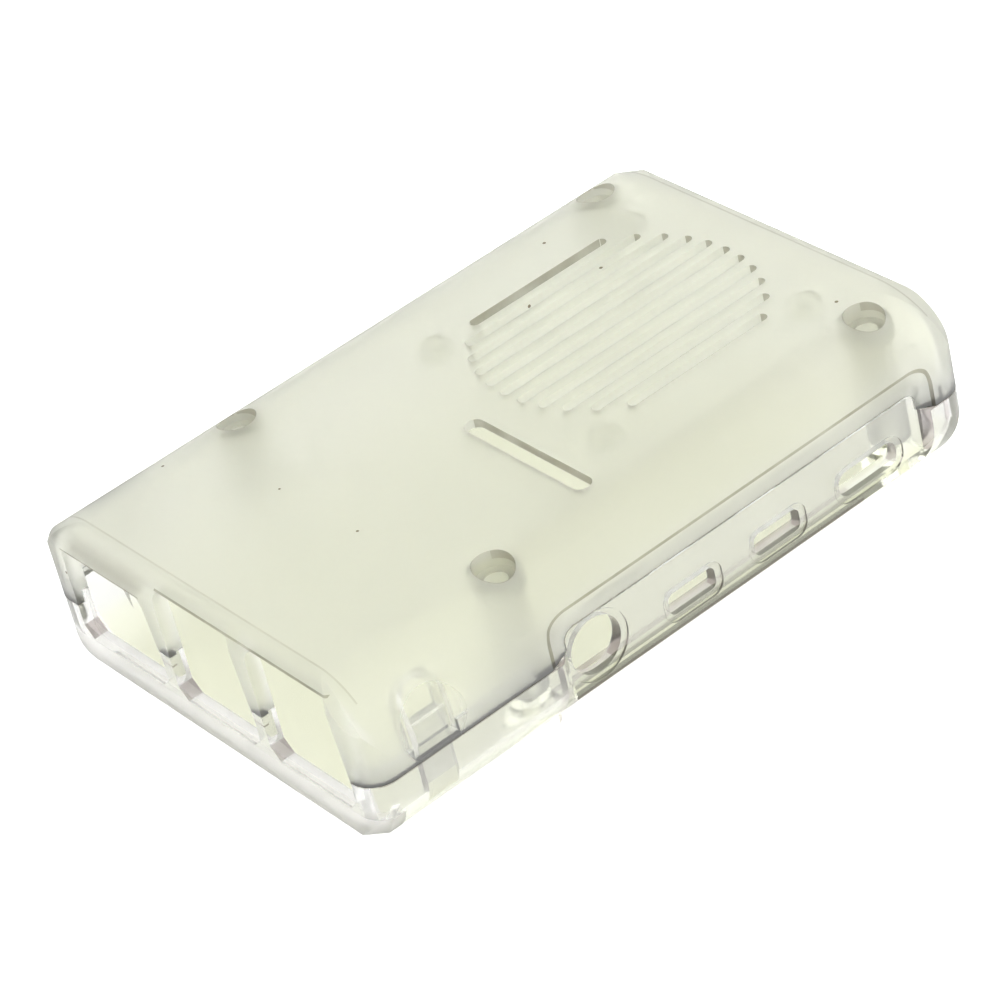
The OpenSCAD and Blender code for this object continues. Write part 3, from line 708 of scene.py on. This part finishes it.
# Dust: a few dark specks that lie on the plastic, each well under a millimetre
dust_specks = bpy.data.node_groups.new("dust_specks", "ShaderNodeTree")
dust_specks.interface.new_socket("Plastic", in_out="INPUT", socket_type="NodeSocketColor")
dust_specks.interface.new_socket("Dust", in_out="INPUT", socket_type="NodeSocketColor")
dust_specks.interface.new_socket("Share", in_out="INPUT", socket_type="NodeSocketFloat")
dust_specks.interface.new_socket("Colour", in_out="OUTPUT", socket_type="NodeSocketColor")
nodes = dust_specks.nodes
links = dust_specks.links
given = nodes.new("NodeGroupInput")
result = nodes.new("NodeGroupOutput")
place = nodes.new("ShaderNodeTexCoord")
cells = nodes.new("ShaderNodeTexVoronoi")
cells.inputs["Scale"].default_value = 190.0
links.new(place.outputs["Object"], cells.inputs["Vector"])
speck = nodes.new("ShaderNodeMath")
speck.operation = "LESS_THAN"
speck.inputs[1].default_value = 0.045
links.new(cells.outputs["Distance"], speck.inputs[0])
pick = nodes.new("ShaderNodeSeparateColor")
links.new(cells.outputs["Color"], pick.inputs["Color"])
picked = nodes.new("ShaderNodeMath")
picked.operation = "LESS_THAN"
links.new(pick.outputs["Red"], picked.inputs[0])
links.new(given.outputs["Share"], picked.inputs[1])
lying = nodes.new("ShaderNodeMath")
lying.operation = "MULTIPLY"
links.new(speck.outputs[0], lying.inputs[0])
links.new(picked.outputs[0], lying.inputs[1])
blend = nodes.new("ShaderNodeMix")
blend.data_type = "RGBA"
links.new(lying.outputs[0], blend.inputs["Factor"])
links.new(given.outputs["Plastic"], blend.inputs["A"])
links.new(given.outputs["Dust"], blend.inputs["B"])
links.new(blend.outputs["Result"], result.inputs["Colour"])


def clear_plastic(name, deep, pale, level, fade, shade_and_seam, wall_shade_level, wall_shade_side, gloss, haze, clear_share,
                  ripple, dust_share):
    plastic = bpy.data.materials.new(name)
    plastic.use_nodes = True
    nodes = plastic.node_tree.nodes
    links = plastic.node_tree.links
    shader = nodes["Principled BSDF"]
    shader.inputs["IOR"].default_value = PLASTIC_IOR
    shader.inputs["Transmission Weight"].default_value = clear_share
    tint = nodes.new("ShaderNodeGroup")
    tint.node_tree = tint_bands
    tint.inputs["Deep"].default_value = deep
    tint.inputs["Pale"].default_value = pale
    tint.inputs["Level"].default_value = level
    tint.inputs["Fade"].default_value = fade
    dust = nodes.new("ShaderNodeGroup")
    dust.node_tree = dust_specks
    dust.inputs["Dust"].default_value = (0.12, 0.09, 0.05, 1.0)
    dust.inputs["Share"].default_value = dust_share
    cuts = nodes.new("ShaderNodeGroup")
    cuts.node_tree = painted_shade_and_seam
    cuts.inputs["Shade and seam"].default_value = shade_and_seam
    cuts.inputs["Wall level"].default_value = wall_shade_level
    cuts.inputs["Wall side"].default_value = wall_shade_side
    cuts.inputs["Recess level"].default_value = RECESS_FLOOR
    links.new(tint.outputs["Tint"], cuts.inputs["Plastic"])
    links.new(cuts.outputs["Colour"], dust.inputs["Plastic"])
    links.new(dust.outputs["Colour"], shader.inputs["Base Color"])
    skin = nodes.new("ShaderNodeGroup")
    skin.node_tree = moulded_skin
    skin.inputs["Gloss"].default_value = gloss
    skin.inputs["Haze"].default_value = haze
    links.new(skin.outputs["Roughness"], shader.inputs["Roughness"])
    bump = nodes.new("ShaderNodeBump")
    bump.inputs["Strength"].default_value = ripple
    bump.inputs["Distance"].default_value = 0.0002
    links.new(skin.outputs["Height"], bump.inputs["Height"])
    links.new(bump.outputs["Normal"], shader.inputs["Normal"])
    return plastic


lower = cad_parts["lower_shell"]
lower_plastic = clear_plastic("lower_plastic", LOWER_DEEP, LOWER_PALE, LOWER_DEEP_TOP, LOWER_DEEP_FADE,
                              LOWER_SHADE_AND_SEAM, LOWER_WALL_SHADE_LEVEL, PANEL_WALL_SIDE, LOWER_GLOSS, LOWER_HAZE, LOWER_CLEAR,
                              0.06, 0.1)
for slot in lower.material_slots:
    slot.material = lower_plastic

# Upper shell
# One clear plastic moulding that drops over the lower shell: roof, walls and screw posts.
# Its skin is hazier than the lower one's, and it is palest where the roof turns down.
UPPER_PALE = (0.958, 0.963, 0.885, 1.0)
UPPER_DEEP = (0.97, 0.975, 0.93, 1.0)
UPPER_DEEP_TOP = 0.0125
UPPER_DEEP_FADE = 0.004
UPPER_CLEAR = 0.82
# Dark colour painted as shade in the slots and along edges, also used for the seam line
UPPER_SHADE_AND_SEAM = (0.27, 0.245, 0.17, 1.0)
UPPER_WALL_SHADE_LEVEL = 0.02188
UPPER_GLOSS = 0.5
UPPER_HAZE = 0.62

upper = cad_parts["upper_shell"]
upper_plastic = clear_plastic("upper_plastic", UPPER_DEEP, UPPER_PALE, UPPER_DEEP_TOP, UPPER_DEEP_FADE,
                              UPPER_SHADE_AND_SEAM, UPPER_WALL_SHADE_LEVEL, 1.0, UPPER_GLOSS, UPPER_HAZE, UPPER_CLEAR,
                              0.08, 0.3)
for slot in upper.material_slots:
    slot.material = upper_plastic

bpy.context.scene.view_settings.view_transform = "Standard"
